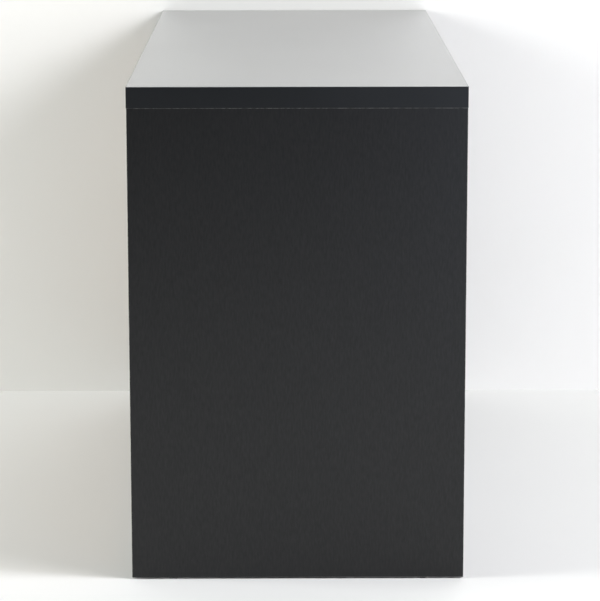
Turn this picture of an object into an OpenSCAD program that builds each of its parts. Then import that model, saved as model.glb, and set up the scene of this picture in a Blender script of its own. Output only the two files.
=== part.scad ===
// Low double dresser with six drawers, three rows in two columns.
// Origin: centre of the footprint, on the floor. +X right, +Y to the back, +Z up.
// The fronts are inset between full-depth side panels, under a thick flush top.

/* [Overall] */
// Length along X
overall_w = 1200; // [1000:10:1500]
// Depth from front to back
overall_d = 480; // [470:5:560]
// Height with the floor glides
overall_h = 715; // [690:1:900]

/* [Boards] */
// Thickness of the top panel
top_t = 30; // [28:1:38]
// Thickness of the side panels and the centre divider
side_t = 18; // [16:1:22]
// Thickness of the bottom panel under the drawers
base_t = 16; // [16:1:18]
// Thickness of the two plinth rails
plinth_t = 16; // [16:1:18]
// Thickness of the drawer fronts
front_t = 18; // [18:1:22]
// Thickness of the drawer box sides and backs
box_t = 12; // [12:1:15]
// Thickness of the fibreboard back and drawer bottoms
sheet_t = 3; // [3:0.5:5]

/* [Fronts] */
// Open height above each front, where the fingers go in
grip_gap = 18; // [14:1:25]
// Thickness of the front's top lip, in front of the bevel
grip_lip = 6; // [5:1:8]
// Height of the bevel on the back of each front
grip_bevel = 24; // [16:1:30]
// Gap between the two columns of fronts
centre_gap = 3; // [2:0.5:4]
// Gap between a front and the side panel
end_gap = 2.5; // [2:0.5:4]
// How far the fronts lie behind the top's front edge
front_recess = 1; // [0.5:0.5:3]

/* [Base] */
// Height of the plinth rails
plinth_h = 50; // [40:5:60]
// Distance from the front edge to the front plinth
plinth_setback = 35; // [30:5:60]
// Thickness of a floor glide under the boards
glide_h = 2; // [2:0.5:4]
// Diameter of a floor glide
glide_d = 16; // [12:1:16]

/* [Drawer boxes] */
// Height of the drawer sides
box_h = 140; // [120:5:150]
// Depth of the drawer box behind its front
box_d = 410; // [405:1:415]
// Height of the box above the bottom edge of its front
box_lift = 26; // [24:1:30]
// Distance from the bottom edge of a side up to the bottom sheet's groove
sheet_lift = 12; // [10:1:14]

/* [Slides] */
// Length of the ball-bearing slides
slide_l = 400; // [380:10:400]
// Thickness of a closed slide, between carcass and drawer side
slide_t = 12.7; // [12.7:0.1:13]
// Height of the cabinet member
slide_h = 45.7; // [45:0.1:46]
// Thickness of the slide's sheet steel
slide_metal = 1.2; // [1:0.1:1.2]

/* [Hidden] */
$fn = 48;
ROWS = ["lower", "middle", "upper"];
COLUMNS = ["left", "right"];
DRAWER_PIECES = ["front", "side_left", "side_right", "back", "bottom",
                 "slide_inner", "slide_middle", "fixings"];
CARCASS = ["top_panel", "side_panel_left", "side_panel_right", "bottom_panel", "centre_divider",
           "plinth_front", "plinth_rear", "back_panel", "cabinet_slide_rails",
           "cam_lock_fittings", "wooden_dowels", "floor_glides"];
function drawer_node(row, column, piece) = str("drawer_", row, "_", column, "_", piece);

// Colours: black laminate outside, grey foil and fibreboard inside.
BLACK = [0.17, 0.17, 0.18];
GREY_FOIL = [0.42, 0.42, 0.43];
FIBREBOARD = [0.30, 0.29, 0.28];
ZINC = [0.75, 0.76, 0.78];
BEECH = [0.80, 0.66, 0.46];
PLASTIC = [0.06, 0.06, 0.06];

EPS = 0.1;             // past a surface that a cut must clear
FIT = 0.1;             // radial clearance round a dowel, bolt or cam
END_PLAY = 0.5;        // and past its end
TOP_REVEAL = 0.5;      // the top stands out past the ends of the carcass
TOP_EDGE = 0.4;        // and past its front and rear edges
BEHIND_FRONT = 2;      // carcass boards stop this far behind the fronts
SHEET_PLAY = 0.1;      // a sheet's clearance in its groove
GROOVE_DEEP = 6;       // depth of every sheet groove
SHEET_ENTRY = 5.5;     // how far a sheet enters its groove
BACK_INSET = 8;        // from a side panel's rear edge to the back sheet
SLIDE_SETBACK = 6;     // from the back of a front to the front end of its slides
SLIDE_LEVEL = 0.4;     // height of a slide's centre line, as a share of the box's height

under_top = overall_h - top_t;
inner_x = overall_w / 2 - TOP_REVEAL - side_t;        // inner face of a side panel
column_w = inner_x - side_t / 2;                      // clear width of a column
column_x = side_t / 2 + column_w / 2;                 // its centre
side_d = overall_d - 2 * TOP_EDGE;
front_y = -overall_d / 2 + front_recess;              // outer face of the fronts
box_y = front_y + front_t;                            // inner face of the fronts
carcass_y = box_y + BEHIND_FRONT;                     // front edge of divider and bottom panel
back_y = side_d / 2 - BACK_INSET - sheet_t;           // inner face of the back sheet
base_z = glide_h + plinth_h;                          // underside of the bottom panel
row_pitch = (under_top - base_z) / len(ROWS);
front_h = row_pitch - grip_gap;
front_w = inner_x - end_gap - centre_gap / 2;
box_w = column_w - 2 * slide_t;                       // outside width of a drawer box
slide_z = box_lift + box_h * SLIDE_LEVEL;             // height of a slide's centre line in its row
slide_y = box_y + SLIDE_SETBACK;                      // front end of the slides

// Knock-down joinery. A cam disc lies in one board's face and draws in a bolt
// that is screwed into the face of the other board.
BIG_CAM = [15, 12.5, 24];                             // diameter, depth, distance from the joint
SMALL_CAM = [12, 9.5, 24];
CROSS = [0.64, 1.8, 1.4];                             // driver slot: share of the disc, width, depth
BOLT_D = 6;
BOLT_HEAD = [7, 2.5];                                 // diameter, length
BOLT_START = 1.5;                                     // from the disc's axis to the bolt's head
BOLT_HOLE = 7.6;
THREAD = [5, 10];
DOWEL = [8, 30];
DOWEL_IN_FACE = 10;                                   // the rest is in the other board's edge
CAM_Y = [-150, 150];
DOWEL_Y = [-190, 190];
PLINTH_CAM_Z = 20;                                    // above the floor
PLINTH_DOWEL_Z = 40;
SCREW_D = 3.5;                                        // of a slide's screws
SCREW_HEAD = [6.5, 1.8];                              // diameter, height
SLIDE_SCREW_L = 10;                                   // in the drawer side
RAIL_HOLE = 4.4;
RAIL_HOLES_Y = [30, slide_l / 2, slide_l - 30];
INNER_HOLES_Y = [50, slide_l / 2 + 15, slide_l - 20];
BOX_SCREW = [4, 38, 8, 3];                            // diameter, length, head diameter, head depth
BOX_FIX_Z = [30, box_h - 20];                         // cams and screws on a drawer side
NAIL = [2.4, 14];                                     // of a floor glide: diameter, length
GLIDE_CHAMFER = 0.6;
GLIDE_Y = 180;

X = [1, 0, 0];
Y = [0, 1, 0];
Z = [0, 0, 1];

// Moves local +X to the direction `along` and local +Z to `out`, at point p.
module place(p, along, out) {
    side = cross(out, along);
    multmatrix([[along.x, side.x, out.x, p.x],
                [along.y, side.y, out.y, p.y],
                [along.z, side.z, out.z, p.z],
                [0, 0, 0, 1]]) children();
}

module along_x(length, d) rotate([0, 90, 0]) cylinder(h = length, d = d);

module board(low, high) translate(low) cube(high - low);

// ---- one cam joint, in local axes: disc at the origin, bolt along +X ----

module cam_disc(cam, axis_depth) {
    difference() {
        translate([0, 0, -cam[1]]) cylinder(h = cam[1], d = cam[0]);
        translate([0, 0, -axis_depth]) along_x(cam[0], BOLT_HOLE);
        for (turn = [0, 90]) rotate(turn)
            translate([-cam[0] * CROSS[0] / 2, -CROSS[1] / 2, -CROSS[2]])
                cube([cam[0] * CROSS[0], CROSS[1], CROSS[2] + EPS]);
    }
}

module cam_bolt(cam, axis_depth)
    translate([BOLT_START, 0, -axis_depth]) {
        along_x(BOLT_HEAD[1], BOLT_HEAD[0]);
        along_x(cam[2] - BOLT_START, BOLT_D);
        along_x(cam[2] - BOLT_START + THREAD[1], THREAD[0]);
    }

module cam_fitting(cam, axis_depth) {
    cam_disc(cam, axis_depth);
    cam_bolt(cam, axis_depth);
}

module cam_cut(cam, axis_depth) {
    translate([0, 0, -cam[1] - FIT]) cylinder(h = cam[1] + FIT + EPS, d = cam[0] + 2 * FIT);
    translate([0, 0, -axis_depth]) along_x(cam[2] + EPS, BOLT_HOLE);
}

module thread_cut(cam, axis_depth) {
    translate([cam[2] - EPS, 0, -axis_depth]) along_x(THREAD[1] + END_PLAY + EPS, THREAD[0] + 2 * FIT);
}

// ---- where the carcass joints are ----

// Cam joints of the carcass: disc point, bolt direction, face direction, board thickness.
function top_cam(x, out, y) = [[x, y, under_top - BIG_CAM[2]], Z, out, side_t];
function base_cam(s, y) = [[s * (inner_x - BIG_CAM[2]), y, base_z], s * X, -Z, base_t];
function plinth_cam(s, y, out) = [[s * (inner_x - BIG_CAM[2]), y, PLINTH_CAM_Z], s * X, out, plinth_t];
SIDE_CAMS = [for (s = [-1, 1]) for (y = CAM_Y) top_cam(s * inner_x, -s * X, y)];
DIVIDER_TOP_CAMS = [for (y = CAM_Y) top_cam(-side_t / 2, -X, y)];
DIVIDER_BASE_CAMS = [for (y = CAM_Y)
    [[-side_t / 2, y, base_z + base_t + BIG_CAM[2]], -Z, -X, side_t]];
BASE_CAMS = [for (s = [-1, 1]) for (y = CAM_Y) base_cam(s, y)];
plinth_front_y = -overall_d / 2 + plinth_setback;
plinth_rear_y = back_y - plinth_t;
PLINTH_FRONT_CAMS = [for (s = [-1, 1]) plinth_cam(s, plinth_front_y + plinth_t, Y)];
PLINTH_REAR_CAMS = [for (s = [-1, 1]) plinth_cam(s, plinth_rear_y, -Y)];

// Dowels of the carcass: joint point, and the direction into the faced board.
SIDE_TOP_DOWELS = [for (s = [-1, 1]) for (y = DOWEL_Y)
    [[s * (inner_x + side_t / 2), y, under_top], Z]];
DIVIDER_TOP_DOWELS = [for (y = DOWEL_Y) [[0, y, under_top], Z]];
DIVIDER_BASE_DOWELS = [for (y = DOWEL_Y) [[0, y, base_z + base_t], -Z]];
BASE_DOWELS = [for (s = [-1, 1]) for (y = DOWEL_Y)
    [[s * inner_x, y, base_z + base_t / 2], s * X]];
PLINTH_FRONT_DOWELS = [for (s = [-1, 1])
    [[s * inner_x, plinth_front_y + plinth_t / 2, PLINTH_DOWEL_Z], s * X]];
PLINTH_REAR_DOWELS = [for (s = [-1, 1])
    [[s * inner_x, plinth_rear_y + plinth_t / 2, PLINTH_DOWEL_Z], s * X]];

module cams(list) for (c = list) place(c[0], c[1], c[2]) cam_fitting(BIG_CAM, c[3] / 2);
module cam_cuts(list) for (c = list) place(c[0], c[1], c[2]) cam_cut(BIG_CAM, c[3] / 2);
module thread_cuts(list) for (c = list) place(c[0], c[1], c[2]) thread_cut(BIG_CAM, c[3] / 2);

// Any direction square to a dowel will do as its local Z.
function square_to(v) = abs(v.z) > 0.5 ? X : Z;

module dowels(list)
    for (d = list) place(d[0], d[1], square_to(d[1]))
        translate([DOWEL_IN_FACE - DOWEL[1], 0, 0]) along_x(DOWEL[1], DOWEL[0]);

module dowel_cuts(list)
    for (d = list) place(d[0], d[1], square_to(d[1]))
        translate([DOWEL_IN_FACE - DOWEL[1] - END_PLAY, 0, 0])
            along_x(DOWEL[1] + 2 * END_PLAY, DOWEL[0] + 2 * FIT);

// Floor glides: under both ends of the side panels and the middle of each plinth.
GLIDES = concat([for (s = [-1, 1]) for (y = [-GLIDE_Y, GLIDE_Y]) [s * (inner_x + side_t / 2), y]],
                [[0, plinth_front_y + plinth_t / 2], [0, plinth_rear_y + plinth_t / 2]]);

module nail_cuts() for (g = GLIDES) translate([g.x, g.y, glide_h - EPS])
    cylinder(h = NAIL[1] + END_PLAY + EPS, d = NAIL[0] + 2 * FIT);

// ---- the carcass ----

module top_panel() color(BLACK) difference() {
    board([-overall_w / 2, -overall_d / 2, under_top], [overall_w / 2, overall_d / 2, overall_h]);
    board([-inner_x - GROOVE_DEEP, back_y - SHEET_PLAY, under_top - EPS],
          [inner_x + GROOVE_DEEP, back_y + sheet_t + SHEET_PLAY, under_top + GROOVE_DEEP]);
    thread_cuts(concat(SIDE_CAMS, DIVIDER_TOP_CAMS));
    dowel_cuts(concat(SIDE_TOP_DOWELS, DIVIDER_TOP_DOWELS));
}

module side_panel(s) color(BLACK) difference() {
    board([min(s * inner_x, s * (inner_x + side_t)), -side_d / 2, glide_h],
          [max(s * inner_x, s * (inner_x + side_t)), side_d / 2, under_top]);
    translate([s * inner_x, back_y + sheet_t / 2, (base_z + under_top) / 2])
        cube([2 * GROOVE_DEEP, sheet_t + 2 * SHEET_PLAY, under_top - base_z + 2 * EPS], center = true);
    cam_cuts([for (c = SIDE_CAMS) if (c[0].x * s > 0) c]);
    dowel_cuts([for (d = SIDE_TOP_DOWELS) if (d[0].x * s > 0) d]);
    thread_cuts([for (c = concat(BASE_CAMS, PLINTH_FRONT_CAMS, PLINTH_REAR_CAMS)) if (c[0].x * s > 0) c]);
    dowel_cuts([for (d = concat(BASE_DOWELS, PLINTH_FRONT_DOWELS, PLINTH_REAR_DOWELS))
        if (d[0].x * s > 0) d]);
    nail_cuts();
}

module bottom_panel() color(BLACK) difference() {
    board([-inner_x, carcass_y, base_z], [inner_x, back_y, base_z + base_t]);
    cam_cuts(BASE_CAMS);
    dowel_cuts(concat(BASE_DOWELS, DIVIDER_BASE_DOWELS));
    thread_cuts(DIVIDER_BASE_CAMS);
}

module centre_divider() color(BLACK) difference() {
    board([-side_t / 2, carcass_y, base_z + base_t], [side_t / 2, back_y, under_top]);
    cam_cuts(concat(DIVIDER_TOP_CAMS, DIVIDER_BASE_CAMS));
    dowel_cuts(concat(DIVIDER_TOP_DOWELS, DIVIDER_BASE_DOWELS));
}

module plinth(y, cam_list, dowel_list) color(BLACK) difference() {
    board([-inner_x, y, glide_h], [inner_x, y + plinth_t, base_z]);
    cam_cuts(cam_list);
    dowel_cuts(dowel_list);
    nail_cuts();
}

module plinth_front() plinth(plinth_front_y, PLINTH_FRONT_CAMS, PLINTH_FRONT_DOWELS);
module plinth_rear() plinth(plinth_rear_y, PLINTH_REAR_CAMS, PLINTH_REAR_DOWELS);

module back_panel() color(FIBREBOARD)
    board([-inner_x - SHEET_ENTRY, back_y, base_z + END_PLAY],
          [inner_x + SHEET_ENTRY, back_y + sheet_t, under_top + SHEET_ENTRY]);

module cam_lock_fittings() color(ZINC)
    cams(concat(SIDE_CAMS, DIVIDER_TOP_CAMS, DIVIDER_BASE_CAMS, BASE_CAMS,
                PLINTH_FRONT_CAMS, PLINTH_REAR_CAMS));

module wooden_dowels() color(BEECH)
    dowels(concat(SIDE_TOP_DOWELS, DIVIDER_TOP_DOWELS, DIVIDER_BASE_DOWELS, BASE_DOWELS,
                  PLINTH_FRONT_DOWELS, PLINTH_REAR_DOWELS));

module floor_glides() color(PLASTIC) for (g = GLIDES) translate([g.x, g.y, 0]) {
    cylinder(h = GLIDE_CHAMFER, d1 = glide_d - 2 * GLIDE_CHAMFER, d2 = glide_d);
    translate([0, 0, GLIDE_CHAMFER]) cylinder(h = glide_h - GLIDE_CHAMFER, d = glide_d);
    cylinder(h = glide_h + NAIL[1], d = NAIL[0]);
}

// ---- the slides: three nested channels, X from the carcass wall to the drawer ----

// A channel with its web at x = web, its flanges ending at x = edge with turned-in lips.
function channel(web, edge, h, lip) = let (s = sign(edge - web), t = slide_metal)
    [[web, -h / 2], [edge, -h / 2], [edge, -h / 2 + lip], [edge - s * t, -h / 2 + lip],
     [edge - s * t, -h / 2 + t], [web + s * t, -h / 2 + t], [web + s * t, h / 2 - t],
     [edge - s * t, h / 2 - t], [edge - s * t, h / 2 - lip], [edge, h / 2 - lip],
     [edge, h / 2], [web, h / 2]];

// The drawer member has plain flanges, with no lips.
function plain_channel(web, edge, h) = let (s = sign(edge - web), t = slide_metal)
    [[web, -h / 2], [edge, -h / 2], [edge, -h / 2 + t], [web + s * t, -h / 2 + t],
     [web + s * t, h / 2 - t], [edge, h / 2 - t], [edge, h / 2], [web, h / 2]];

BALL_ROOM = 3.35;                                     // between one channel's flange and the next
LIP = 3.6;                                            // depth of a turned-in lip
OUTER_EDGE = 9.2;                                     // where the cabinet member ends, from the wall
MIDDLE_EDGE = 10.6;
WEB_GAP = 1.4;                                        // between one channel and the next one's web
MIDDLE_SHORTER = 4;
middle_h = slide_h - 2 * slide_metal - 2 * BALL_ROOM;
inner_h = middle_h - 2 * slide_metal - 2 * BALL_ROOM;
middle_web = slide_metal + WEB_GAP;
OUTER_PROFILE = channel(0, OUTER_EDGE, slide_h, LIP);
MIDDLE_PROFILE = channel(middle_web, MIDDLE_EDGE, middle_h, LIP);
INNER_PROFILE = plain_channel(slide_t, middle_web + slide_metal + WEB_GAP, inner_h);

module member(profile, length, holes)
    translate([0, slide_y, 0]) difference() {
        translate([0, length, 0]) rotate([90, 0, 0]) linear_extrude(length) polygon(profile);
        for (y = holes) translate([-EPS, y, 0]) along_x(slide_t + 2 * EPS, RAIL_HOLE);
    }

// Both slides of one drawer, facing each other across the column.
module both_sides() for (s = [0, 1]) mirror([s, 0, 0]) translate([-column_w / 2, 0, slide_z]) children();

function column_sign(column) = column == "left" ? -1 : 1;
module at_drawer(row, column)
    translate([column_sign(column) * column_x, 0, base_z + search([row], ROWS)[0] * row_pitch]) children();

module cabinet_slide_rails() color(ZINC)
    for (r = ROWS) for (c = COLUMNS) at_drawer(r, c) both_sides()
        member(OUTER_PROFILE, slide_l, RAIL_HOLES_Y);

// ---- one drawer, in its own place: x from the column's centre, z from the row's bottom ----

sheet_z = box_lift + sheet_lift;
groove_h = sheet_t + 2 * SHEET_PLAY;
box_end = box_y + box_d;

// The cam joints that hold the front to the sides, on the outside of the box.
module each_box_cam(s) for (z = BOX_FIX_Z)
    place([s * box_w / 2, box_y + SMALL_CAM[2], box_lift + z], -Y, s * X) children();

// The screws that hold the back between the sides.
module each_box_screw(s) for (z = BOX_FIX_Z)
    place([s * box_w / 2, box_end - box_t / 2, box_lift + z], -s * X, Z) children();

// The screws that hold the drawer member of a slide.
module each_slide_screw(s) for (y = INNER_HOLES_Y)
    place([s * box_w / 2, slide_y + y, slide_z], -s * X, Z) children();

module box_screw() {
    along_x(BOX_SCREW[1], BOX_SCREW[0]);
    rotate([0, 90, 0]) cylinder(h = BOX_SCREW[3], d1 = BOX_SCREW[2], d2 = BOX_SCREW[0]);
}

module box_screw_cut() {
    translate([-EPS, 0, 0]) along_x(BOX_SCREW[1] + END_PLAY + EPS, BOX_SCREW[0] + 2 * FIT);
    translate([-EPS, 0, 0]) rotate([0, 90, 0])
        cylinder(h = BOX_SCREW[3] + 2 * EPS, d1 = BOX_SCREW[2] + 4 * FIT, d2 = BOX_SCREW[0] + 2 * FIT);
}

module slide_screw() {
    translate([-slide_metal, 0, 0]) along_x(slide_metal + SLIDE_SCREW_L, SCREW_D);
    translate([-slide_metal - SCREW_HEAD[1], 0, 0]) along_x(SCREW_HEAD[1], SCREW_HEAD[0]);
}

// The front's section, with the bevel behind its top edge for the fingers.
module front_section() polygon([
    [0, 0], [0, front_h], [grip_lip, front_h], [front_t, front_h - grip_bevel], [front_t, 0]]);

module drawer_front(column) color(BLACK) difference() {
    translate([column == "left" ? -inner_x + end_gap : centre_gap / 2, front_y, 0]
              - [column_sign(column) * column_x, 0, 0])
        rotate([90, 0, 90]) linear_extrude(front_w) front_section();
    board([-box_w / 2 + box_t - GROOVE_DEEP, box_y - GROOVE_DEEP, sheet_z],
          [box_w / 2 - box_t + GROOVE_DEEP, box_y + EPS, sheet_z + groove_h]);
    for (s = [-1, 1]) each_box_cam(s) thread_cut(SMALL_CAM, box_t / 2);
}

module drawer_side(s) color(GREY_FOIL) difference() {
    board([s > 0 ? box_w / 2 - box_t : -box_w / 2, box_y, box_lift],
          [s > 0 ? box_w / 2 : -box_w / 2 + box_t, box_end, box_lift + box_h]);
    translate([s * (box_w / 2 - box_t), (box_y + box_end) / 2, sheet_z + groove_h / 2])
        cube([2 * GROOVE_DEEP, box_d + 2 * EPS, groove_h], center = true);
    each_box_cam(s) cam_cut(SMALL_CAM, box_t / 2);
    each_box_screw(s) box_screw_cut();
    each_slide_screw(s) translate([-EPS, 0, 0])
        along_x(SLIDE_SCREW_L + END_PLAY + EPS, SCREW_D + 2 * FIT);
}

module drawer_back() color(GREY_FOIL) difference() {
    board([-box_w / 2 + box_t, box_end - box_t, sheet_z + groove_h],
          [box_w / 2 - box_t, box_end, box_lift + box_h]);
    for (s = [-1, 1]) each_box_screw(s) box_screw_cut();
}

module drawer_bottom() color(FIBREBOARD)
    board([-box_w / 2 + box_t - SHEET_ENTRY, box_y - SHEET_ENTRY, sheet_z + SHEET_PLAY],
          [box_w / 2 - box_t + SHEET_ENTRY, box_end, sheet_z + SHEET_PLAY + sheet_t]);

module drawer_slide_inner() color(ZINC) both_sides() member(INNER_PROFILE, slide_l, INNER_HOLES_Y);
module drawer_slide_middle() color(ZINC) both_sides() member(MIDDLE_PROFILE, slide_l - MIDDLE_SHORTER, []);

module drawer_fixings() color(ZINC) for (s = [-1, 1]) {
    each_box_cam(s) cam_fitting(SMALL_CAM, box_t / 2);
    each_box_screw(s) box_screw();
    each_slide_screw(s) slide_screw();
}

module drawer_piece(row, column, piece) at_drawer(row, column) {
    if (piece == "front") drawer_front(column);
    if (piece == "side_left") drawer_side(-1);
    if (piece == "side_right") drawer_side(1);
    if (piece == "back") drawer_back();
    if (piece == "bottom") drawer_bottom();
    if (piece == "slide_inner") drawer_slide_inner();
    if (piece == "slide_middle") drawer_slide_middle();
    if (piece == "fixings") drawer_fixings();
}

top_panel();
side_panel(-1);  // side_panel_left
side_panel(1);  // side_panel_right
bottom_panel();
centre_divider();
plinth_front();
plinth_rear();
back_panel();
cabinet_slide_rails();
cam_lock_fittings();
wooden_dowels();
floor_glides();
for (r = ROWS) for (c = COLUMNS) for (p = DRAWER_PIECES)
    drawer_piece(r, c, p);
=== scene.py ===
import math

import bmesh
import bpy
from mathutils import Matrix, Vector


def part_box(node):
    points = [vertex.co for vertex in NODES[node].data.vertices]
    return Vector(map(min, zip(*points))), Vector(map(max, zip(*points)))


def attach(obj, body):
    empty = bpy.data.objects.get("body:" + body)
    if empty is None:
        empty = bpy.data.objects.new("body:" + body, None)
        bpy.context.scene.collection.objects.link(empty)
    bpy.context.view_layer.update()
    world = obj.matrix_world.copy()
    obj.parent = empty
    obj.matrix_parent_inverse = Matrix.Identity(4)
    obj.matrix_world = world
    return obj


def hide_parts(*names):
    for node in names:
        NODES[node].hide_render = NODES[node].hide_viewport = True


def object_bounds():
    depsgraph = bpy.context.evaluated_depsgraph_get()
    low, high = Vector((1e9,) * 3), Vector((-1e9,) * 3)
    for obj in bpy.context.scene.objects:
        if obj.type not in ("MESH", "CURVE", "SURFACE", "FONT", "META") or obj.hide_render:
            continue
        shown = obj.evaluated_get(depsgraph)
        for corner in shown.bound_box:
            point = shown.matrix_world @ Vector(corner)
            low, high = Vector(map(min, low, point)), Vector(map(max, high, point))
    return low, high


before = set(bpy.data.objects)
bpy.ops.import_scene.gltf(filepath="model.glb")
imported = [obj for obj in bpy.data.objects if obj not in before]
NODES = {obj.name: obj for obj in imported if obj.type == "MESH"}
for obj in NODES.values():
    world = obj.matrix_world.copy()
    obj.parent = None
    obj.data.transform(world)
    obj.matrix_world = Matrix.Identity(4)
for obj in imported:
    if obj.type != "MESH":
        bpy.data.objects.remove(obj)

CAD_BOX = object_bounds()
ROWS = ("lower", "middle", "upper")
COLUMNS = ("left", "right")
DRAWERS = [f"drawer_{row}_{column}" for row in ROWS for column in COLUMNS]

MM = 0.001
CAD_SIZE = CAD_BOX[1] - CAD_BOX[0]


# ---- shader helpers -------------------------------------------------------------------------

class Shader:
    """A Principled material under construction. Its patterns lie in the dresser's own frame, in metres."""

    def __init__(self, name):
        self.material = bpy.data.materials.new(name)
        self.material.use_nodes = True
        self.tree = self.material.node_tree
        self.bsdf = self.tree.nodes["Principled BSDF"]
        self.place = self.node("ShaderNodeTexCoord").outputs["Object"]

    def node(self, kind, **settings):
        """A new node of a kind, with its own settings."""
        made = self.tree.nodes.new(kind)
        for key, value in settings.items():
            setattr(made, key, value)
        return made

    def link(self, output, into):
        self.tree.links.new(output, into)

    def set(self, **values):
        """Constants go on the shader's own sockets."""
        for key, value in values.items():
            self.bsdf.inputs[key.replace("_", " ")].default_value = value

    def noise(self, scale, stretch=(1, 1, 1), detail=3.0, roughness=0.5, distortion=0.0):
        """Noise with features 1/scale metres wide, stretched along an axis where stretch is under 1."""
        mapping = self.node("ShaderNodeMapping")
        mapping.inputs["Scale"].default_value = stretch
        self.link(self.place, mapping.inputs["Vector"])
        noise = self.node("ShaderNodeTexNoise")
        noise.inputs["Scale"].default_value = scale
        noise.inputs["Detail"].default_value = detail
        noise.inputs["Roughness"].default_value = roughness
        noise.inputs["Distortion"].default_value = distortion
        self.link(mapping.outputs["Vector"], noise.inputs["Vector"])
        return noise.outputs["Fac"]

    def ramp(self, value, *stops):
        """Colour or grey by value: stops are (position, colour) with a colour or a number."""
        ramp = self.node("ShaderNodeValToRGB")
        elements = ramp.color_ramp.elements
        while len(elements) < len(stops):
            elements.new(0.5)
        for element, (position, colour) in zip(elements, stops):
            element.position = position
            element.color = (*colour, 1) if isinstance(colour, tuple) else (colour, colour, colour, 1)
        self.link(value, ramp.inputs["Fac"])
        return ramp.outputs["Color"]

    def spread(self, value, low, high):
        """The value's usual range, 0.3 to 0.7, mapped to low..high."""
        remap = self.node("ShaderNodeMapRange")
        remap.inputs["From Min"].default_value = 0.3
        remap.inputs["From Max"].default_value = 0.7
        remap.inputs["To Min"].default_value = low
        remap.inputs["To Max"].default_value = high
        self.link(value, remap.inputs["Value"])
        return remap.outputs["Result"]

    def math(self, operation, a, b):
        """Arithmetic on two values, each a number or another node's output."""
        made = self.node("ShaderNodeMath", operation=operation)
        for socket, value in zip(made.inputs, (a, b)):
            if isinstance(value, (int, float)):
                socket.default_value = value
            else:
                self.link(value, socket)
        return made.outputs["Value"]

    def colour(self, varying):
        self.link(varying, self.bsdf.inputs["Base Color"])

    def roughness(self, varying):
        self.link(varying, self.bsdf.inputs["Roughness"])

    def specular(self, varying, usual):
        """A varying level, and the usual one for exports that can't carry a varying one."""
        self.set(Specular_IOR_Level=usual)
        self.link(varying, self.bsdf.inputs["Specular IOR Level"])

    def bump(self, height, depth):
        """Relief of the given depth in metres where height runs from 0 to 1."""
        bump = self.node("ShaderNodeBump")
        bump.inputs["Strength"].default_value = 1.0
        bump.inputs["Distance"].default_value = depth
        self.link(height, bump.inputs["Height"])
        self.link(bump.outputs["Normal"], self.bsdf.inputs["Normal"])


# ---- materials ------------------------------------------------------------------------------

LONG_STREAKS_X = (0.012, 1, 1)
SHORT_STREAKS = {"x": (0.22, 1, 1), "z": (1, 1, 0.22)}
BLACK_LOW = (0.0060, 0.0062, 0.0067)
BLACK_HIGH = (0.0083, 0.0086, 0.0093)


def laminate(grain):
    """Satin black melamine: fine pores and short streaks pressed along one axis."""
    s = Shader(f"black_laminate_{grain}")
    streaks = s.noise(scale=430, stretch=SHORT_STREAKS[grain], detail=4, roughness=0.6)
    pores = s.noise(scale=1500, stretch=SHORT_STREAKS[grain], detail=2)
    cloud = s.noise(scale=9, detail=2)
    s.colour(s.ramp(streaks, (0.30, BLACK_LOW), (0.70, BLACK_HIGH)))
    s.roughness(s.math("ADD", s.spread(pores, 0.30, 0.33), s.spread(cloud, -0.01, 0.01)))
    s.specular(s.spread(streaks, 0.345, 0.415), usual=0.38)
    s.bump(s.math("ADD", streaks, pores), depth=0.05 * MM)
    return s.material


def top_laminate():
    """The top's harder laminate: the same black, pressed smoother, so that it mirrors at a low angle."""
    s = Shader("black_laminate_top")
    brushed = s.noise(scale=560, stretch=LONG_STREAKS_X, detail=3, roughness=0.55)
    cloud = s.noise(scale=5, detail=2)
    s.colour(s.ramp(brushed, (0.30, BLACK_LOW), (0.70, BLACK_HIGH)))
    s.roughness(s.spread(cloud, 0.17, 0.19))
    s.set(Coat_Weight=0.52, Coat_Roughness=0.14)
    s.bump(brushed, depth=0.002 * MM)
    return s.material


def edge_band():
    """Black ABS edging, smoother than the faces and bluer."""
    s = Shader("black_edge_band")
    waves = s.noise(scale=14, stretch=(0.5, 0.5, 1), detail=2)
    grain = s.noise(scale=900, stretch=(0.1, 0.1, 1), detail=3)
    s.colour(s.ramp(grain, (0.3, (0.0056, 0.0068, 0.0085)), (0.7, (0.0070, 0.0084, 0.0102))))
    s.roughness(s.spread(waves, 0.29, 0.32))
    s.set(Specular_IOR_Level=0.42)
    s.bump(grain, depth=0.04 * MM)
    return s.material


FLOOR_GLINT_HEIGHT, FLOOR_GLINT_STRENGTH = 5 * MM, 0.14      # of the painted highlight on the bottom arris, next to the floor


def edge_trim(name, low, high, glint_near_floor=False):
    """The trimmed arris of the edging, with a painted highlight: paler in patches where light would glint on
    it, and, with glint_near_floor, paler still within a few millimetres of the floor, where the bottom arris
    catches the floor's light.
    """
    s = Shader(name)
    # the pale patches are a painted highlight, standing in for light glinting on the arris
    painted_glint = s.noise(scale=140, detail=4, roughness=0.7)
    if glint_near_floor:
        split = s.node("ShaderNodeSeparateXYZ")
        s.link(s.place, split.inputs["Vector"])
        # a painted highlight along the bottom arris, where it catches light from the floor
        near_floor = s.math("LESS_THAN", split.outputs["Z"], FLOOR_GLINT_HEIGHT)
        painted_glint = s.math("ADD", painted_glint, s.math("MULTIPLY", near_floor, FLOOR_GLINT_STRENGTH))
    s.colour(s.ramp(painted_glint, (0.42, low), (0.62, high)))
    s.roughness(s.spread(painted_glint, 0.3, 0.5))
    return s.material


def raw_core():
    """Bare chipboard in holes and grooves."""
    s = Shader("raw_chipboard")
    chips = s.noise(scale=900, detail=5, roughness=0.7)
    dark, brown, pale = (0.16, 0.10, 0.05), (0.36, 0.25, 0.14), (0.52, 0.40, 0.26)
    s.colour(s.ramp(chips, (0.3, dark), (0.5, brown), (0.72, pale)))
    s.set(Roughness=0.9)
    s.bump(chips, depth=0.3 * MM)
    return s.material


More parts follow.
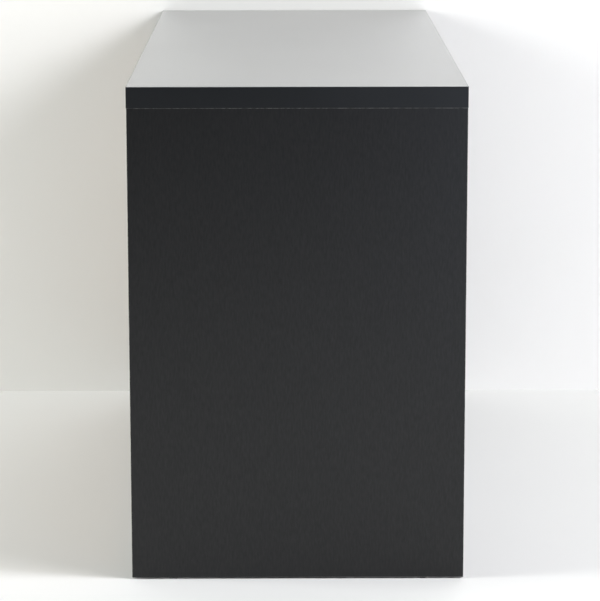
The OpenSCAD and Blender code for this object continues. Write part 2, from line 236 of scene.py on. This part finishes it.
def grey_foil():
    """Matt grey foil with a woven linen print."""
    s = Shader("grey_linen_foil")
    warp = s.noise(scale=1300, stretch=(0.05, 0.05, 1), detail=2)
    weft = s.noise(scale=1300, stretch=(1, 1, 0.05), detail=2)
    cloth = s.math("ADD", s.math("MULTIPLY", warp, 0.5), s.math("MULTIPLY", weft, 0.5))
    s.colour(s.ramp(cloth, (0.38, (0.115, 0.116, 0.120)), (0.62, (0.205, 0.206, 0.212))))
    s.roughness(s.spread(cloth, 0.5, 0.62))
    s.bump(cloth, depth=0.08 * MM)
    return s.material


def hardboard(name, low, high, roughness):
    """Pressed fibreboard, raw or painted: its fibres show either way."""
    s = Shader(name)
    fibres = s.noise(scale=520, stretch=(1, 0.5, 0.5), detail=5, roughness=0.65, distortion=0.6)
    s.colour(s.ramp(fibres, (0.32, low), (0.68, high)))
    s.set(Roughness=roughness)
    s.bump(fibres, depth=0.1 * MM)
    return s.material


def metal(name, low, high, roughness, grain=(1, 1, 1), scale=600.0, depth=0.03 * MM):
    """Bare or plated metal, between two greys and two roughnesses."""
    s = Shader(name)
    streaks = s.noise(scale=scale, stretch=grain, detail=3)
    s.colour(s.ramp(streaks, (0.3, low), (0.7, high)))
    s.roughness(s.spread(streaks, *roughness))
    s.set(Metallic=1.0)
    s.bump(streaks, depth=depth)
    return s.material


def beech():
    """The pale wood of the dowels."""
    s = Shader("beech")
    grain = s.noise(scale=700, stretch=(1, 1, 0.1), detail=3)
    s.colour(s.ramp(grain, (0.3, (0.42, 0.25, 0.12)), (0.7, (0.66, 0.46, 0.27))))
    s.set(Roughness=0.6)
    s.bump(grain, depth=0.1 * MM)
    return s.material


def black_plastic():
    """Moulded nylon with a fine spark-eroded grain."""
    s = Shader("black_nylon")
    grain = s.noise(scale=1400, detail=2)
    s.colour(s.ramp(grain, (0.3, (0.010, 0.010, 0.011)), (0.7, (0.022, 0.022, 0.023))))
    s.roughness(s.spread(grain, 0.4, 0.5))
    s.bump(grain, depth=0.05 * MM)
    return s.material


LAMINATE = {axis: laminate(axis) for axis in SHORT_STREAKS}
TOP, BAND, CORE = top_laminate(), edge_band(), raw_core()
# Both trims carry a painted highlight on the arris: the black one a faint glint, the side panels' one a
# strong pale line.
TRIM = edge_trim("black_edge_trim", (0.010, 0.011, 0.013), (0.030, 0.032, 0.036))
GLINT_TRIM = edge_trim("painted_glint_edge_trim", (0.03, 0.03, 0.031), (0.20, 0.195, 0.19), glint_near_floor=True)
FOIL = grey_foil()
BROWN = hardboard("brown_hardboard", (0.105, 0.058, 0.030), (0.175, 0.105, 0.058), roughness=0.75)
PAINTED_BLACK = hardboard("painted_hardboard_black", (0.012, 0.012, 0.013), (0.022, 0.022, 0.024),
                          roughness=0.5)
PAINTED_GREY = hardboard("painted_hardboard_grey", (0.135, 0.136, 0.140), (0.190, 0.191, 0.196),
                         roughness=0.55)
ZINC_STEEL = metal("zinc_plated_steel", (0.62, 0.63, 0.65), (0.74, 0.75, 0.77), roughness=(0.34, 0.44),
                   grain=(1, 0.03, 1), scale=1500)
CAST_ZINC = metal("cast_zinc", (0.40, 0.41, 0.43), (0.56, 0.57, 0.59), roughness=(0.36, 0.52),
                  depth=0.08 * MM)
CAGE_STEEL = metal("cage_steel", (0.34, 0.35, 0.37), (0.46, 0.47, 0.49), roughness=(0.34, 0.46),
                   grain=(1, 0.05, 1))
BALL_STEEL = metal("ball_steel", (0.60, 0.61, 0.63), (0.72, 0.73, 0.75), roughness=(0.10, 0.16),
                   depth=0.005 * MM)
BEECH, NYLON = beech(), black_plastic()


# ---- pieces ------------------------------------------------------------------------------------

def ride(piece, body, slot, *nodes):
    """Fixes a piece to a body, in place of the named CAD nodes, which it hides. The slot argument is not
    used.
    """
    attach(piece, body)
    if nodes:
        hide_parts(*nodes)
    return piece


def made_object(name, bm, *materials):
    """An object from a finished bmesh, with its normals outward."""
    bmesh.ops.recalc_face_normals(bm, faces=bm.faces)
    mesh = bpy.data.meshes.new(name)
    bm.to_mesh(mesh)
    bm.free()
    for material in materials:
        mesh.materials.append(material)
    made = bpy.data.objects.new(name, mesh)
    bpy.context.scene.collection.objects.link(made)
    return made


# ---- boards: the CAD solid with edging, trimmed arrises and bare holes ----------------------

WELD = 0.001 * MM                         # vertices closer than this are one
FLAT = math.radians(0.5)                  # faces that meet at less than this are one


def clean_copy(node):
    """The node's mesh as one welded surface with flat faces made whole."""
    bm = bmesh.new()
    bm.from_mesh(NODES[node].data)
    bmesh.ops.remove_doubles(bm, verts=bm.verts, dist=WELD)
    bmesh.ops.dissolve_degenerate(bm, dist=WELD, edges=bm.edges)
    bmesh.ops.dissolve_limit(bm, angle_limit=FLAT, verts=bm.verts, edges=bm.edges)
    bm.normal_update()
    return bm


ON_PLANE = 0.01 * MM                      # a vertex this close to a plane lies on it
NEAR, FAR, EDGE, BARE, ARRIS = range(5)   # a board's material slots


def outer_plane(face, vertices, low, high):
    """Names the outer plane that a face lies on: (axis, side), or "slope" where it isn't square to an axis.
    A face in a hole or a groove has none."""
    for axis in range(3):
        for side, corner in enumerate((low, high)):
            if all(abs(v.co[axis] - corner[axis]) < ON_PLANE for v in face.verts):
                return axis, side
    front = face.normal.dot(face.calc_center_median())
    if all(face.normal.dot(v.co) < front + ON_PLANE for v in vertices):
        return "slope"
    return None


def board(node, body, near_face, far_face, slot, edge=None, trim=None, arris=0.6 * MM):
    """Stands for a CAD board: the same solid, with its arrises eased and a material for each kind of
    surface. near_face is the material of the face on the low side of its thickness, far_face the other."""
    bm = clean_copy(node)
    low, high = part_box(node)
    size = high - low
    thickness = min(range(3), key=lambda i: size[i])
    planes = {face: outer_plane(face, bm.verts, low, high) for face in bm.faces}
    kinds = {None: BARE, (thickness, 0): NEAR, (thickness, 1): FAR}
    for face, plane in planes.items():
        face.smooth = False
        face.material_index = kinds.get(plane, EDGE)
    arrises = []
    for line in bm.edges:
        sides = {planes[face] for face in line.link_faces}
        if len(sides) == 2 and None not in sides:
            arrises.append(line)
    bmesh.ops.bevel(bm, geom=arrises, offset=arris, offset_type="OFFSET", segments=3, profile=0.5,
                    affect="EDGES", material=ARRIS, clamp_overlap=False)
    for face in bm.faces:
        face.smooth = face.material_index == ARRIS
    piece = made_object(f"{node}_board", bm, near_face, far_face, edge or BAND, CORE, trim or TRIM)
    return ride(piece, body, slot, node)


# ---- hardware: the CAD solids with eased edges, and the small parts that CAD leaves out -------

def solids(node):
    """The lowest and highest corner of each separate solid in a node."""
    bm = clean_copy(node)
    bm.verts.ensure_lookup_table()
    seen, boxes = set(), []
    for start in bm.verts:
        if start in seen:
            continue
        group, waiting = [], [start]
        seen.add(start)
        while waiting:
            vertex = waiting.pop()
            group.append(vertex.co.copy())
            for edge in vertex.link_edges:
                other = edge.other_vert(vertex)
                if other not in seen:
                    seen.add(other)
                    waiting.append(other)
        boxes.append((Vector(map(min, zip(*group))), Vector(map(max, zip(*group)))))
    bm.free()
    return boxes


def smooth_by_angle(bm, degrees):
    """Shades the mesh smooth, but for edges sharper than an angle."""
    for face in bm.faces:
        face.smooth = True
    for edge in bm.edges:
        edge.smooth = len(edge.link_faces) == 2 and edge.calc_face_angle(0) < math.radians(degrees)


SHARP = math.radians(30)


def ease(bm, offset):
    """Rounds every sharp edge."""
    sharp = [edge for edge in bm.edges if len(edge.link_faces) == 2 and edge.calc_face_angle(0) > SHARP]
    bmesh.ops.bevel(bm, geom=sharp, offset=offset, offset_type="OFFSET", segments=2, profile=0.5,
                    affect="EDGES", clamp_overlap=False)
    smooth_by_angle(bm, degrees=40)


def hardware(node, body, material, slot, arris):
    """Stands for a CAD solid of metal, wood or plastic: the same shape with its edges eased."""
    bm = clean_copy(node)
    ease(bm, arris)
    return ride(made_object(f"{node}_piece", bm, material), body, slot, node)


TURNED_SIDES = 20


def turned(bm, profile, place):
    """A solid of revolution about local +Z from (radius, height) points, lowest first."""
    angles = [2 * math.pi * i / TURNED_SIDES for i in range(TURNED_SIDES)]
    rings = []
    for radius, height in profile:
        if radius == 0:
            rings.append([bm.verts.new(place @ Vector((0, 0, height)))])
            continue
        rings.append([bm.verts.new(place @ Vector((radius * math.cos(a), radius * math.sin(a), height)))
                      for a in angles])
    for low, high in zip(rings, rings[1:]):
        for i in range(TURNED_SIDES):
            j = (i + 1) % TURNED_SIDES
            corners = [low[i % len(low)], low[j % len(low)], high[j % len(high)], high[i % len(high)]]
            bm.faces.new(list(dict.fromkeys(corners)))


def block(bm, low, high, place):
    """A box between two local corners."""
    corners = [bm.verts.new(place @ Vector((x, y, z))) for x in (low[0], high[0]) for y in (low[1], high[1])
               for z in (low[2], high[2])]
    for quad in ((0, 1, 3, 2), (4, 6, 7, 5), (0, 4, 5, 1), (2, 3, 7, 6), (0, 2, 6, 4), (1, 5, 7, 3)):
        bm.faces.new([corners[i] for i in quad])


def prism(bm, outline, low, high, place):
    """An outline in the local XY plane, extruded from low to high along Z."""
    bottom = [bm.verts.new(place @ Vector((x, y, low))) for x, y in outline]
    top = [bm.verts.new(place @ Vector((x, y, high))) for x, y in outline]
    bm.faces.new(bottom)
    bm.faces.new(top)
    for i in range(len(outline)):
        j = (i + 1) % len(outline)
        bm.faces.new([bottom[i], bottom[j], top[j], top[i]])


def cross_recess(bm, reach, depth, place):
    """A tapered cross, as a driver bit leaves it, from just above local Z = 0 down to the depth."""
    arm = 0.26 * reach
    taper = 0.45
    plus = [(arm, arm), (arm, reach), (-arm, reach), (-arm, arm), (-reach, arm), (-reach, -arm),
            (-arm, -arm), (-arm, -reach), (arm, -reach), (arm, -arm), (reach, -arm), (reach, arm)]
    rows = []
    for share, height in ((1, 0.1 * MM), (taper, -depth)):
        rows.append([bm.verts.new(place @ Vector((x * share, y * share, height))) for x, y in plus])
        bm.faces.new(rows[-1])
    for i in range(len(plus)):
        j = (i + 1) % len(plus)
        bm.faces.new([rows[0][i], rows[0][j], rows[1][j], rows[1][i]])


def cut(piece, cutter_mesh):
    """Takes the cutter out of the piece's mesh for good."""
    bmesh.ops.recalc_face_normals(cutter_mesh, faces=cutter_mesh.faces)
    mesh = bpy.data.meshes.new("cutter")
    cutter_mesh.to_mesh(mesh)
    cutter_mesh.free()
    cutter = bpy.data.objects.new("cutter", mesh)
    bpy.context.scene.collection.objects.link(cutter)
    change = piece.modifiers.new("cut", "BOOLEAN")
    change.operation, change.solver, change.object = "DIFFERENCE", "EXACT", cutter
    bpy.context.view_layer.update()
    result = piece.evaluated_get(bpy.context.evaluated_depsgraph_get())
    piece.data = bpy.data.meshes.new_from_object(result)
    piece.modifiers.clear()
    bpy.data.objects.remove(cutter)


def facing(point, direction, along=(0, 1, 0)):
    """The place whose local +Z points in a direction."""
    z = Vector(direction).normalized()
    x = Vector(along).cross(z).normalized()
    y = z.cross(x)
    return Matrix.Translation(point) @ Matrix((x, y, z)).transposed().to_4x4()


# ---- slides: local X across from the carcass wall to the drawer, Y back from the front end ----

METAL = 1.2 * MM                           # thickness of the slides' sheet
MIDDLE_WEB = 2.6 * MM                      # the middle member's web, across from the wall
CHANNEL_FLOOR = 11.5 * MM                  # inside of the drawer member's web
OUTER_BALLS = (4.6 * MM, 19.975 * MM)      # across, and above and below the slide's centre line
INNER_BALLS = (7.3 * MM, 15.425 * MM)
BALL_RADIUS = 1.6 * MM
BALL_PITCH = 20 * MM
CAGE_LENGTH = 180 * MM
CAGE_SHEET = 0.3 * MM                      # half of its thickness
RAIL_SCREWS = (30 * MM, 200 * MM, 370 * MM)


def slide_places(drawer):
    """Where the left and the right slide of a drawer start, as places with the local axes above."""
    boxes = sorted(solids(f"{drawer}_slide_middle"), key=lambda box: box[0].x)
    places = []
    for side, (low, high) in zip((1, -1), boxes):
        wall = low.x - MIDDLE_WEB if side > 0 else high.x + MIDDLE_WEB
        corner = Vector((wall, low.y, (low.z + high.z) / 2))
        places.append(Matrix.Translation(corner) @ Matrix.Diagonal((side, 1, 1, 1)))
    return places


def ball_cage(bm, place, balls, web, depth, start):
    """A folded strip with a row of balls in each of its two flanges. Its web stands at web, across from the
    wall, and its flanges reach depth further."""
    across, up = balls
    end = start + CAGE_LENGTH
    block(bm, (web, start, -up - CAGE_SHEET), (web + 2 * CAGE_SHEET, end, up + CAGE_SHEET), place)
    for side in (-1, 1):
        block(bm, (web, start, side * up - CAGE_SHEET), (web + depth, end, side * up + CAGE_SHEET), place)
        for i in range(round(CAGE_LENGTH / BALL_PITCH)):
            centre = Matrix.Translation((across, start + (i + 0.5) * BALL_PITCH, side * up))
            made = bmesh.ops.create_icosphere(bm, subdivisions=2, radius=BALL_RADIUS,
                                              matrix=place @ centre)
            for face in {f for v in made["verts"] for f in v.link_faces}:
                face.material_index = 1
                face.smooth = True


def make_ball_cages(drawer):
    """Both cages of each slide, on the middle members: the outer one stays in their rear half, the inner
    one in their front half, which is where the members still overlap when the drawer is out."""
    bm = bmesh.new()
    for place in slide_places(drawer):
        ball_cage(bm, place, OUTER_BALLS, web=1.6 * MM, depth=5.6 * MM, start=205 * MM)
        ball_cage(bm, place, INNER_BALLS, web=4.2 * MM, depth=4.6 * MM, start=12 * MM)
    cages = made_object(f"{drawer}_ball_cages", bm, CAGE_STEEL, BALL_STEEL)
    ride(cages, f"{drawer}_slide_middles", "zinc_steel")


LEVER_AT = 135 * MM                        # back along the slide
LEVER_TURN = Matrix(((0, 0, -1, 0), (1, 0, 0, 0), (0, -1, 0, 0), (0, 0, 0, 1)))
PIVOT_AT, PIVOT_RADIUS, PIVOT_HEIGHT = 8 * MM, 3.4 * MM, 4.8 * MM
PIVOT_CHAMFER = 0.6 * MM
ARM_START, ARM_END = 18 * MM, 62 * MM
ARM_BOW, ARM_HALF = 3 * MM, 2.2 * MM
ARM_STEPS = 8


def lever_base():
    """A plate with its corners cut off."""
    start, end, half, corner = -4 * MM, 24 * MM, 9 * MM, 4 * MM
    return [(start + corner, -half), (end - corner, -half), (end, corner - half), (end, half - corner),
            (end - corner, half), (start + corner, half), (start, half - corner), (start, corner - half)]


def lever_arm():
    """A strip bowed along a half wave."""
    shares = [i / ARM_STEPS for i in range(ARM_STEPS + 1)]
    middle = [(ARM_START + (ARM_END - ARM_START) * t, ARM_BOW * math.sin(math.pi * t)) for t in shares]
    return [(x, y + ARM_HALF) for x, y in middle] + [(x, y - ARM_HALF) for x, y in reversed(middle)]


def lever_tab():
    """A thumb tab around the arm's end, widest before its blunt point."""
    root, shoulder, point = ARM_END - 3 * MM, ARM_END + 4 * MM, ARM_END + 6 * MM
    return [(root, -5 * MM), (shoulder, -6 * MM), (point, 0), (shoulder, 6 * MM), (root, 5 * MM)]


def make_levers(drawer):
    """The release lever of each drawer member: a pivoted base, a bowed arm and a thumb tab."""
    bm = bmesh.new()
    pivot = [(0, 0), (PIVOT_RADIUS, 0), (PIVOT_RADIUS, PIVOT_HEIGHT - PIVOT_CHAMFER),
             (PIVOT_RADIUS - PIVOT_CHAMFER, PIVOT_HEIGHT), (0, PIVOT_HEIGHT)]
    for place in slide_places(drawer):
        # a lever's local X runs back along the slide, and its local Z across it to the carcass
        lever = place @ Matrix.Translation((CHANNEL_FLOOR, LEVER_AT, 0)) @ LEVER_TURN
        prism(bm, lever_base(), low=0, high=1.6 * MM, place=lever)
        prism(bm, lever_arm(), low=1.4 * MM, high=3.6 * MM, place=lever)
        prism(bm, lever_tab(), low=1.2 * MM, high=4.6 * MM, place=lever)
        turned(bm, pivot, lever @ Matrix.Translation((PIVOT_AT, 0, 0)))
    bmesh.ops.recalc_face_normals(bm, faces=bm.faces)
    ease(bm, 0.35 * MM)
    ride(made_object(f"{drawer}_release_levers", bm, NYLON), drawer, "black_plastic")


BUMPER_ACROSS = (1.3 * MM, 7.6 * MM)
BUMPER_ALONG = (396.4 * MM, 399.7 * MM)
BUMPER_HALF = 13 * MM                      # half of its height
RIB_HALF, RIB_PROUD = 1.5 * MM, 0.3 * MM


def make_bumpers():
    """The stop at the rear end of each cabinet member, with two ribs on its front."""
    bm = bmesh.new()
    (x0, x1), (y0, y1) = BUMPER_ACROSS, BUMPER_ALONG
    for drawer in DRAWERS:
        for place in slide_places(drawer):
            block(bm, (x0, y0, -BUMPER_HALF), (x1, y1, BUMPER_HALF), place)
            for z in (-BUMPER_HALF / 2, BUMPER_HALF / 2):
                block(bm, (x0, y0 - RIB_PROUD, z - RIB_HALF), (x1 - MM, y0 + MM, z + RIB_HALF), place)
    bmesh.ops.recalc_face_normals(bm, faces=bm.faces)
    ease(bm, 0.3 * MM)
    ride(made_object("slide_rear_bumpers", bm, NYLON), "carcass", "black_plastic")


def make_rail_screws():
    """Flat-head screws that hold the cabinet members to the side panels and the divider."""
    bm, crosses = bmesh.new(), bmesh.new()
    head, neck, shank, proud = 3.4 * MM, 2.15 * MM, 1.7 * MM, 0.3 * MM
    tip, cone = -5 * MM, -4 * MM
    profile = [(0, tip), (shank, cone), (shank, -METAL), (neck, -METAL), (head, -0.1 * MM),
               (head, proud * 0.5), (head * 0.9, proud), (0, proud)]
    for drawer in DRAWERS:
        for place in slide_places(drawer):
            for y in RAIL_SCREWS:
                point = place @ Vector((METAL, y, 0))
                at = facing(point, place.to_3x3() @ Vector((1, 0, 0)))
                turned(bm, profile, at)
                cross_recess(crosses, reach=2.0 * MM, depth=1.1 * MM,
                             place=at @ Matrix.Translation((0, 0, proud)))
    smooth_by_angle(bm, degrees=35)
    screws = made_object("slide_rail_screws", bm, ZINC_STEEL)
    cut(screws, crosses)
    ride(screws, "carcass", "zinc_steel")


NAIL_PITCH = 145 * MM
NAIL = [(0, -6 * MM), (0.7 * MM, -4.5 * MM), (0.7 * MM, 0), (2.6 * MM, 0), (2.5 * MM, 0.45 * MM),
        (1.7 * MM, 0.85 * MM), (0, 1.0 * MM)]     # radius and height, from the point to the domed head


def make_back_nails():
    """Nails through the back panel into the bottom panel's rear edge and the divider's."""
    bm = bmesh.new()
    low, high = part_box("back_panel")
    bottom_low, bottom_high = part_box("bottom_panel")
    bottom_middle = (bottom_low.z + bottom_high.z) / 2
    each_way = int((high.x - low.x) / 2 / NAIL_PITCH)
    upwards = int((high.z - bottom_high.z) / NAIL_PITCH)
    points = [(i * NAIL_PITCH, high.y, bottom_middle) for i in range(-each_way, each_way + 1)]
    points += [(0, high.y, bottom_high.z + i * NAIL_PITCH) for i in range(1, upwards + 1)]
    for point in points:
        turned(bm, NAIL, facing(point, (0, 1, 0), along=(0, 0, 1)))
    smooth_by_angle(bm, degrees=35)
    ride(made_object("back_panel_nails", bm, ZINC_STEEL), "carcass", "zinc_steel")


SLIDE_SCREW = (6.5 * MM, 1.4 * MM)         # the head's diameter and its recess's depth
BOX_SCREW = (8.0 * MM, 2.0 * MM)
SAME_SIZE = 0.2 * MM


def drawer_fixings(drawer):
    """The drawer's cams, bolts and screws, with a cross recess cut in each screw's head."""
    node = f"{drawer}_fixings"
    crosses = bmesh.new()
    lowest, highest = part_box(node)
    middle = (lowest.x + highest.x) / 2
    for low, high in solids(node):
        size = high - low
        for diameter, depth in (SLIDE_SCREW, BOX_SCREW):
            if abs(size.y - diameter) < SAME_SIZE and abs(size.z - diameter) < SAME_SIZE:
                centre = (low + high) / 2
                side = 1 if centre.x > middle else -1
                centre.x = high.x if side > 0 else low.x
                cross_recess(crosses, diameter * 0.3, depth, facing(centre, (side, 0, 0)))
    piece = hardware(node, drawer, CAST_ZINC, "cast_zinc", arris=0.12 * MM)
    cut(piece, crosses)


# ---- the whole dresser ------------------------------------------------------------------------

CARCASS_GRAIN = {"side_panel_left": "z", "side_panel_right": "z", "bottom_panel": "x",
                 "centre_divider": "z", "plinth_front": "x", "plinth_rear": "x"}


def finish_carcass():
    """Every carcass node's looks, and the carcass's own small hardware."""
    board("top_panel", "carcass", LAMINATE["x"], TOP, "black_laminate")
    for node, axis in CARCASS_GRAIN.items():
        # the side panels' arrises get the strong painted highlight
        trim = GLINT_TRIM if node.startswith("side_panel") else TRIM
        board(node, "carcass", LAMINATE[axis], LAMINATE[axis], "black_laminate", trim=trim)
    board("back_panel", "carcass", PAINTED_BLACK, BROWN, "hardboard", edge=BROWN, trim=BROWN,
          arris=0.2 * MM)
    hardware("cabinet_slide_rails", "carcass", ZINC_STEEL, "zinc_steel", arris=0.25 * MM)
    hardware("cam_lock_fittings", "carcass", CAST_ZINC, "cast_zinc", arris=0.3 * MM)
    hardware("wooden_dowels", "carcass", BEECH, "beech", arris=0.8 * MM)
    hardware("floor_glides", "carcass", NYLON, "black_plastic", arris=0.25 * MM)
    make_rail_screws()
    make_bumpers()
    make_back_nails()


def finish_drawer(drawer):
    """Every node of a drawer and of its slides' middle members, and their small hardware."""
    middles = f"{drawer}_slide_middles"
    board(f"{drawer}_front", drawer, LAMINATE["x"], LAMINATE["x"], "black_laminate")
    for part in ("side_left", "side_right", "back"):
        board(f"{drawer}_{part}", drawer, FOIL, FOIL, "grey_foil", edge=FOIL, trim=FOIL, arris=0.8 * MM)
    board(f"{drawer}_bottom", drawer, BROWN, PAINTED_GREY, "hardboard", edge=BROWN, trim=BROWN,
          arris=0.2 * MM)
    hardware(f"{drawer}_slide_inner", drawer, ZINC_STEEL, "zinc_steel", arris=0.25 * MM)
    hardware(f"{drawer}_slide_middle", middles, ZINC_STEEL, "zinc_steel", arris=0.25 * MM)
    drawer_fixings(drawer)
    make_ball_cages(drawer)
    make_levers(drawer)


# ---- stage ----------------------------------------------------------------------------------

FLOOR_LIT, FLOOR_FAR = 4.5, 30.0    # half widths of the floor that sheds light and of the whole floor
VEIL_NEAR, VEIL_FAR = 2.4, 5.0      # between these distances the floor turns as pale as the backdrop
VEIL_HEIGHT = 1.0 * MM
WALL_HALF, WALL_TOP = 3.0, 3.0
WALL_GAP = 1.5 * MM                 # between the dresser's right end and the wall
FLOOR_COLOUR = (0.82, 0.82, 0.82)
WALL_COLOUR = (0.90, 0.90, 0.895)
BACKDROP = 0.75                     # its brightness
BACKDROP_COLOUR = (0.97, 0.98, 1.0)


def flat(name, quads, material):
    """A stage mesh of separate quads, which casts no shadow."""
    mesh = bpy.data.meshes.new(name)
    points = [point for quad in quads for point in quad]
    mesh.from_pydata(points, [], [tuple(range(i, i + 4)) for i in range(0, len(points), 4)])
    mesh.materials.append(material)
    made = bpy.data.objects.new(name, mesh)
    bpy.context.scene.collection.objects.link(made)
    made.visible_shadow = False
    return made


def studio_paint(name, colour, one_sided=False):
    """Matt paint, faintly cloudy. One-sided paint is see-through from behind."""
    s = Shader(name)
    cloud = s.noise(scale=1.3, detail=3)
    s.colour(s.ramp(cloud, (0.3, tuple(c * 0.985 for c in colour)), (0.7, colour)))
    s.set(Roughness=0.7, Specular_IOR_Level=0.15)
    if one_sided:
        see_through = s.node("ShaderNodeBsdfTransparent")
        mix = s.node("ShaderNodeMixShader")
        s.link(s.node("ShaderNodeNewGeometry").outputs["Backfacing"], mix.inputs["Fac"])
        s.link(s.bsdf.outputs["BSDF"], mix.inputs[1])
        s.link(see_through.outputs["BSDF"], mix.inputs[2])
        s.link(mix.outputs["Shader"], s.tree.nodes["Material Output"].inputs["Surface"])
    return s


def fade_into_backdrop(s, near, far):
    """Makes a floor's paint glow more from the near distance on, up to the backdrop's glow at the far one."""
    distance = s.node("ShaderNodeVectorMath", operation="LENGTH")
    s.link(s.place, distance.inputs[0])
    fade = s.node("ShaderNodeMapRange", interpolation_type="SMOOTHSTEP")
    fade.inputs["From Min"].default_value = near
    fade.inputs["From Max"].default_value = far
    fade.inputs["To Max"].default_value = BACKDROP
    s.link(distance.outputs["Value"], fade.inputs["Value"])
    s.set(Emission_Color=(*BACKDROP_COLOUR, 1))
    s.link(fade.outputs["Result"], s.bsdf.inputs["Emission Strength"])


def make_floor():
    """A pale floor, under a veil that melts its far part into the backdrop and sheds no light."""

    def level(x0, x1, y0, y1, z):
        return [(x0, y0, z), (x1, y0, z), (x1, y1, z), (x0, y1, z)]

    lit, far, near, z = FLOOR_LIT, FLOOR_FAR, VEIL_NEAR, VEIL_HEIGHT
    flat("studio_floor", [level(-lit, lit, -lit, lit, 0)],
         studio_paint("studio_floor", FLOOR_COLOUR).material)
    veil_paint = studio_paint("studio_floor_veil", FLOOR_COLOUR)
    fade_into_backdrop(veil_paint, near, VEIL_FAR)
    ring = [level(-far, far, -far, -near, z), level(-far, far, near, far, z),
            level(-far, -near, -near, near, z), level(near, far, -near, near, z)]
    veil = flat("studio_floor_veil", ring, veil_paint.material)
    veil.visible_diffuse = False
    veil.visible_glossy = False


def make_wall():
    """A pale wall that the right end stands against. It is open where the dresser covers it and see-through
    from behind, so that the right end is lit and seen in other views."""
    x = CAD_BOX[1].x + WALL_GAP
    half, top = CAD_SIZE.y / 2, CAD_SIZE.z

    def upright(y0, y1, z0, z1):
        return [(x, y0, z0), (x, y0, z1), (x, y1, z1), (x, y1, z0)]

    around = [upright(-WALL_HALF, -half, 0, WALL_TOP), upright(half, WALL_HALF, 0, WALL_TOP),
              upright(-half, half, top, WALL_TOP)]
    wall = flat("studio_wall", around, studio_paint("studio_wall", WALL_COLOUR, one_sided=True).material)
    wall.visible_diffuse = False


def softbox(name, place, aim, size, power, colour=(1, 1, 1), mirrored=True):
    """An area lamp of some watts. One that isn't mirrored lights surfaces without a highlight in them."""
    data = bpy.data.lights.new(name, "AREA")
    data.shape = "RECTANGLE"
    data.size, data.size_y = size
    data.energy = power
    data.color = colour
    light = bpy.data.objects.new(name, data)
    light.location = place
    light.rotation_mode = "QUATERNION"
    light.rotation_quaternion = (Vector(aim) - Vector(place)).to_track_quat("-Z", "Y")
    light.visible_camera = False
    light.visible_glossy = mirrored
    bpy.context.scene.collection.objects.link(light)


MIDDLE = (0, 0, 0.4)


def make_lights():
    """Wide lamps, high and far. The ones on the front side throw the soft shadow behind the dresser, and one
    behind fills it. The two cards are low, beyond the left end, and show only as a faint sheen on it."""
    softbox("key", (-1.8, -2.6, 2.5), MIDDLE, size=(1.3, 1.1), power=20)
    softbox("front_high", (-1.3, -4.5, 3.2), MIDDLE, size=(1.5, 2.2), power=224, colour=(0.92, 0.94, 1.0),
            mirrored=False)
    softbox("front_wide", (-2.4, -4.6, 2.0), MIDDLE, size=(3.4, 3.0), power=148, colour=(1.0, 0.96, 0.92),
            mirrored=False)
    softbox("rear_fill", (-0.85, 5.0, 1.8), (0.1, 0.5, 0.3), size=(2.4, 2.4), power=322,
            colour=(0.975, 1.0, 0.955))
    softbox("ceiling", (2.2, 0, 5.0), (2.2, 0, 0), size=(4.4, 8.0), power=140, colour=(0.99, 1.0, 0.93))
    softbox("right_fill", (4.5, -1.5, 3.0), (0.6, 0, 0.4), size=(2.4, 2.4), power=48)
    softbox("corner_fill", (4.0, 3.5, 2.6), (0.3, 0.2, 0.4), size=(2.4, 2.4), power=10)
    softbox("far_card", (-5.0, -1.0, 0.5), (-0.6, 0, 0.4), size=(1.0, 1.0), power=0.9)
    softbox("near_card", (-3.0, -1.0, 0.45), (-0.6, 0, 0.2), size=(0.6, 0.6), power=6.6,
            colour=(0.72, 0.80, 1.0))
    scene = bpy.context.scene
    scene.world = make_world()
    scene.view_settings.view_transform = "Standard"


def make_world():
    """Dim room light, with a pale backdrop beyond the floor."""
    world = bpy.data.worlds.new("studio")
    world.use_nodes = True
    nodes, links = world.node_tree.nodes, world.node_tree.links
    room = nodes["Background"]
    room.inputs["Color"].default_value = (0.98, 0.99, 1.0, 1)
    room.inputs["Strength"].default_value = 0.06
    backdrop = nodes.new("ShaderNodeBackground")
    backdrop.inputs["Color"].default_value = (*BACKDROP_COLOUR, 1)
    backdrop.inputs["Strength"].default_value = BACKDROP
    seen = nodes.new("ShaderNodeLightPath")
    mix = nodes.new("ShaderNodeMixShader")
    links.new(seen.outputs["Is Camera Ray"], mix.inputs["Fac"])
    links.new(room.outputs["Background"], mix.inputs[1])
    links.new(backdrop.outputs["Background"], mix.inputs[2])
    links.new(mix.outputs["Shader"], nodes["World Output"].inputs["Surface"])
    return world


# ---- camera: square on to the left end, a little to the rear of its middle -------------------

CAMERA_BACK = 3.780       # from the left end
CAMERA_HEIGHT = 1.1594
CAMERA_OFFSET = 0.0156    # towards the rear
PITCH, YAW, ROLL = -11.203, -0.292, 0.064      # degrees
LENS, SENSOR = 162.7, 36                       # millimetres


def make_camera():
    """The camera: level along +X, then turned by its roll, pitch and yaw."""
    data = bpy.data.cameras.new("camera")
    data.sensor_width = SENSOR
    data.lens = LENS
    data.clip_start, data.clip_end = 0.1, 100
    camera = bpy.data.objects.new("camera", data)
    heading = Matrix.Rotation(math.radians(YAW - 90), 4, "Z")
    pitched = Matrix.Rotation(math.radians(90 + PITCH), 4, "X")
    rolled = Matrix.Rotation(math.radians(-ROLL), 4, "Z")
    place = Matrix.Translation((CAD_BOX[0].x - CAMERA_BACK, CAMERA_OFFSET, CAMERA_HEIGHT))
    camera.matrix_world = place @ (heading @ pitched @ rolled)
    bpy.context.scene.collection.objects.link(camera)
    bpy.context.scene.camera = camera


def remove_startup_objects():
    """Clears Blender's own start scene: a cube, a lamp and a camera."""
    for name in ("Camera", "Light", "Cube"):
        if name in bpy.data.objects:
            bpy.data.objects.remove(bpy.data.objects[name])


remove_startup_objects()
make_camera()
make_floor()
make_wall()
make_lights()
finish_carcass()
for each in DRAWERS:
    finish_drawer(each)
